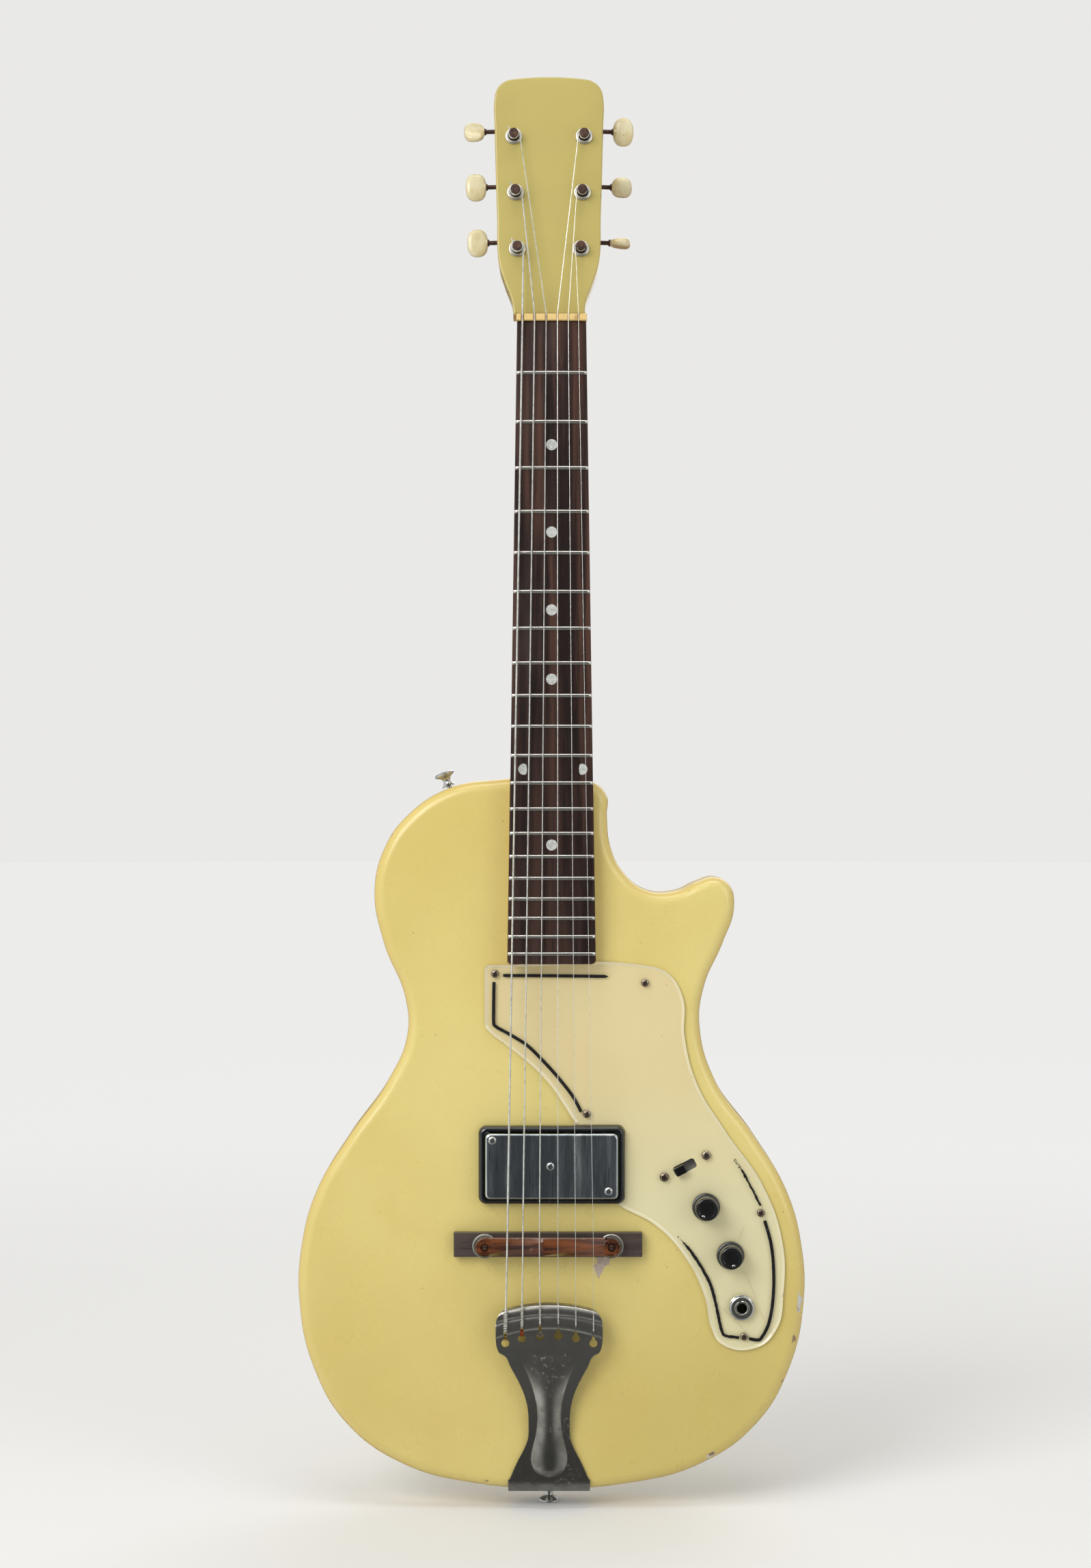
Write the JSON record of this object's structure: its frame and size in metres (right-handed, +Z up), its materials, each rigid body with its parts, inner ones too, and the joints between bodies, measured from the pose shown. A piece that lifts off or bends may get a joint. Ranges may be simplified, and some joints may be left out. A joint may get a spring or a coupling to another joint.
{
  "type": "electric guitar",
  "caption": "Solid-body electric guitar: single cutaway, bolt-on 20-fret neck, one pickup, floating wooden bridge, pressed-steel tailpiece, open-geared tuners.",
  "frame": {"origin": "on the centreline where a wall hanger's two arms carry the headstock, 16 mm above the nut, in the plane of the body's front", "axes": "+Z up along the neck towards the tip of the headstock, -Y out of the front of the body, +X to the treble side"},
  "size_m": [0.3094, 0.0613, 0.8755],
  "materials": {
    "cream_paint": "aged gloss cream-yellow paint over wood, chipped at the rims",
    "maple": "stained and varnished maple; the headstock's face is painted cream",
    "rosewood": "oiled dark rosewood with open grain",
    "saddle_wood": "reddish-brown satin rosewood",
    "nut_plastic": "aged ivory plastic",
    "guard_plastic": "aged cream gloss plastic with black lines",
    "black_plastic": "black gloss plastic",
    "button_plastic": "aged cream plastic",
    "chrome": "worn chrome plate",
    "aged_nickel": "pressed steel with dark, worn nickel plate",
    "steel": "plain steel with a little rust",
    "bronze": "brass, darkened with age",
    "copper_wire": "enamelled copper winding and a brown capacitor",
    "magnet_grey": "bare magnet alloy",
    "string_steel": "nickel-plated steel wire"
  },
  "bodies": {
    "instrument": {"body": "cream_paint", "neck": "maple", "fingerboard": "rosewood", "bridge_base": "rosewood", "nut": "nut_plastic", "pickguard": "guard_plastic", "pickup_ring": "black_plastic", "pickup_cover": "chrome", "pickup_base_plate": "chrome", "jack_socket": "chrome", "jack_nut": "chrome", "neck_plate": "chrome", "neck_bolt_1": "chrome", "neck_bolt_2": "chrome", "neck_bolt_3": "chrome", "neck_bolt_4": "chrome", "tuner_bushing_1": "chrome", "tuner_bushing_2": "chrome", "tuner_bushing_3": "chrome", "tuner_bushing_4": "chrome", "tuner_bushing_5": "chrome", "tuner_bushing_6": "chrome", "tailpiece": "aged_nickel", "neck_reinforcement_bar": "steel", "tuner_plate_bass": "steel", "tuner_plate_treble": "steel", "bridge_post_bass": "steel", "bridge_post_treble": "steel", "volume_potentiometer": "steel", "tone_potentiometer": "steel", "switch_housing": "steel", "strap_button_lower": "bronze", "strap_button_upper": "bronze", "pickup_coil": "copper_wire", "tone_capacitor": "copper_wire", "pickup_magnet": "magnet_grey", "string_1": "string_steel", "string_2": "string_steel", "string_3": "string_steel", "string_4": "string_steel", "string_5": "string_steel", "string_6": "string_steel"},
    "volume_knob": {"volume_knob": "black_plastic"},
    "tone_knob": {"tone_knob": "black_plastic"},
    "switch_slider": {"switch_slider": "black_plastic"},
    "bridge_saddle": {"bridge_saddle": "saddle_wood"},
    "bridge_wheel_bass": {"bridge_wheel_bass": "steel"},
    "bridge_wheel_treble": {"bridge_wheel_treble": "steel"},
    "tuner_button_1": {"tuner_button_1": "button_plastic"},
    "tuner_button_2": {"tuner_button_2": "button_plastic"},
    "tuner_button_3": {"tuner_button_3": "button_plastic"},
    "tuner_button_4": {"tuner_button_4": "button_plastic"},
    "tuner_button_5": {"tuner_button_5": "button_plastic"},
    "tuner_button_6": {"tuner_button_6": "button_plastic"},
    "tuner_post_1": {"tuner_post_1": "steel"},
    "tuner_post_2": {"tuner_post_2": "steel"},
    "tuner_post_3": {"tuner_post_3": "steel"},
    "tuner_post_4": {"tuner_post_4": "steel"},
    "tuner_post_5": {"tuner_post_5": "steel"},
    "tuner_post_6": {"tuner_post_6": "steel"}
  },
  "joints": [
    {"name": "tuner_6_button", "type": "hinge", "parent": "instrument", "child": "tuner_button_6", "pos_m": [-0.02124, 0.01822, 0.03752], "axis": [0.9995, 0.004, 0.0303], "continuous": true},
    {"name": "tuner_6_post", "type": "hinge", "parent": "instrument", "child": "tuner_post_6", "pos_m": [-0.02091, -0.00179, 0.02956], "axis": [0, 0.9914, -0.1305], "continuous": true},
    {"name": "tuner_5_button", "type": "hinge", "parent": "instrument", "child": "tuner_button_5", "pos_m": [-0.02232, 0.02286, 0.0728], "axis": [0.9995, 0.004, 0.0303], "continuous": true},
    {"name": "tuner_5_post", "type": "hinge", "parent": "instrument", "child": "tuner_post_5", "pos_m": [-0.022, 0.00285, 0.06484], "axis": [0, 0.9914, -0.1305], "continuous": true},
    {"name": "tuner_4_button", "type": "hinge", "parent": "instrument", "child": "tuner_button_4", "pos_m": [-0.02341, 0.02751, 0.10807], "axis": [0.9995, 0.004, 0.0303], "continuous": true},
    {"name": "tuner_4_post", "type": "hinge", "parent": "instrument", "child": "tuner_post_4", "pos_m": [-0.02309, 0.0075, 0.10012], "axis": [0, 0.9914, -0.1305], "continuous": true},
    {"name": "tuner_3_button", "type": "hinge", "parent": "instrument", "child": "tuner_button_3", "pos_m": [0.02021, 0.02751, 0.10807], "axis": [0.9995, -0.004, -0.0303], "continuous": true},
    {"name": "tuner_3_post", "type": "hinge", "parent": "instrument", "child": "tuner_post_3", "pos_m": [0.01989, 0.0075, 0.10012], "axis": [0, 0.9914, -0.1305], "continuous": true},
    {"name": "tuner_2_button", "type": "hinge", "parent": "instrument", "child": "tuner_button_2", "pos_m": [0.01912, 0.02286, 0.0728], "axis": [0.9995, -0.004, -0.0303], "continuous": true},
    {"name": "tuner_2_post", "type": "hinge", "parent": "instrument", "child": "tuner_post_2", "pos_m": [0.0188, 0.00285, 0.06484], "axis": [0, 0.9914, -0.1305], "continuous": true},
    {"name": "tuner_1_button", "type": "hinge", "parent": "instrument", "child": "tuner_button_1", "pos_m": [0.01804, 0.01822, 0.03752], "axis": [0.9995, -0.004, -0.0303], "continuous": true},
    {"name": "tuner_1_post", "type": "hinge", "parent": "instrument", "child": "tuner_post_1", "pos_m": [0.01771, -0.00179, 0.02956], "axis": [0, 0.9914, -0.1305], "continuous": true},
    {"name": "volume_turn", "type": "hinge", "parent": "instrument", "child": "volume_knob", "pos_m": [0.0938, -0.0031, -0.5529], "axis": [0, 1, 0], "range_deg": [0, 300]},
    {"name": "tone_turn", "type": "hinge", "parent": "instrument", "child": "tone_knob", "pos_m": [0.1086, -0.0031, -0.5823], "axis": [0, 1, 0], "range_deg": [-300, 0]},
    {"name": "switch_slide", "type": "slide", "parent": "instrument", "child": "switch_slider", "axis": [0.8878, 0, 0.4602], "range_m": [0, 0.0064]},
    {"name": "bridge_height", "type": "slide", "parent": "instrument", "child": "bridge_saddle", "axis": [0, 1, 0], "range_m": [0, 0.002]},
    {"name": "bass_wheel_turn", "type": "hinge", "parent": "bridge_saddle", "child": "bridge_wheel_bass", "pos_m": [-0.0405, -0.0102, -0.5757], "axis": [0, 1, 0], "range_deg": [0, 900]},
    {"name": "treble_wheel_turn", "type": "hinge", "parent": "bridge_saddle", "child": "bridge_wheel_treble", "pos_m": [0.0361, -0.0102, -0.5757], "axis": [0, 1, 0], "range_deg": [0, 900]}
  ],
  "couplings": [
    {"joint": "tuner_6_post", "follows": "tuner_6_button", "ratio": -0.071429},
    {"joint": "tuner_5_post", "follows": "tuner_5_button", "ratio": -0.071429},
    {"joint": "tuner_4_post", "follows": "tuner_4_button", "ratio": -0.071429},
    {"joint": "tuner_3_post", "follows": "tuner_3_button", "ratio": -0.071429},
    {"joint": "tuner_2_post", "follows": "tuner_2_button", "ratio": -0.071429},
    {"joint": "tuner_1_post", "follows": "tuner_1_button", "ratio": -0.071429},
    {"joint": "bridge_height", "follows": "bass_wheel_turn", "m_per_rad": 0.0001273},
    {"joint": "treble_wheel_turn", "follows": "bass_wheel_turn", "ratio": 1}
  ]
}
